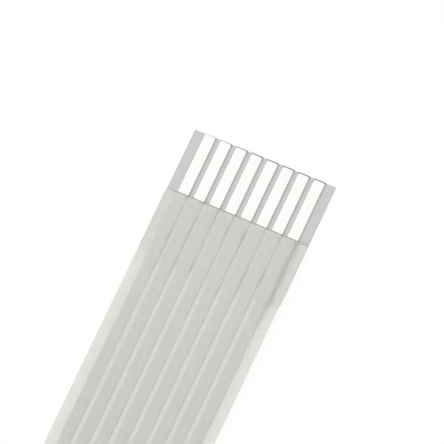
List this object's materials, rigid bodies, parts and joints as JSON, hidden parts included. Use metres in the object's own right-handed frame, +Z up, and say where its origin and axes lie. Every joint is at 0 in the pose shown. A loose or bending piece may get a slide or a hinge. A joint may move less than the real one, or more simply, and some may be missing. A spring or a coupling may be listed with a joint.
{
  "type": "flat flex cable",
  "caption": "Flat flexible jumper cable: tinned copper strips laminated between clear polyester films, with bare contacts on a stiffener tape at each end.",
  "frame": {"origin": "centre of the cable's rectangle, on the surface that it lies on, at the stiffeners' underside", "axes": "+Y along the cable towards the end that carries stiffener_a, +X across it, +Z up, the way the contacts face"},
  "size_m": [0.009, 0.076, 0.0004],
  "materials": {
    "film": "clear, slightly milky laminated polyester film",
    "tinned_copper": "rolled copper strip with bright tin plate",
    "stiffener": "translucent bluish-grey polyester tape"
  },
  "bodies": {
    "root": {"bottom_film": "film", "conductor_1": "tinned_copper", "conductor_2": "tinned_copper", "conductor_3": "tinned_copper", "conductor_4": "tinned_copper", "conductor_5": "tinned_copper", "conductor_6": "tinned_copper", "conductor_7": "tinned_copper", "conductor_8": "tinned_copper", "top_film": "film", "stiffener_a": "stiffener", "stiffener_b": "stiffener"}
  },
  "joints": []
}
